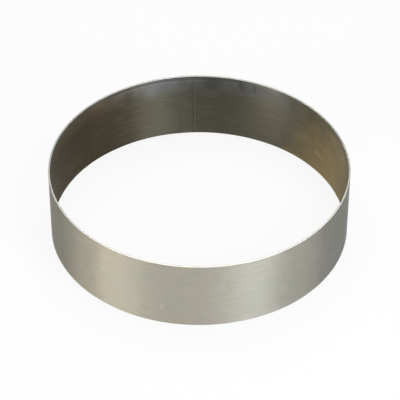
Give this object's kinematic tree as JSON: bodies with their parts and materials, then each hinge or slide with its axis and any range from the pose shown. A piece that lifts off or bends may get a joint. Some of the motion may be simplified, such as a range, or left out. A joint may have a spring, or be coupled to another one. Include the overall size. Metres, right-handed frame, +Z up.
{
  "type": "pastry ring",
  "caption": "Round open pastry ring: a plain brushed stainless steel band, rolled to a circle and welded, with no base and square deburred rims.",
  "frame": {"origin": "centre of the circle on which the lower rim stands", "axes": "+Z up along the ring's axis, from the lower rim to the upper; +Y to the back, where the weld is, about 2 degrees to the -X side of +Y"},
  "size_m": [0.28, 0.28, 0.07],
  "materials": {
    "brushed_steel": "satin brushed stainless steel, brush lines run round the wall; inside darker and warmer from use"
  },
  "bodies": {
    "root": {"ring_band": "brushed_steel"}
  },
  "joints": []
}
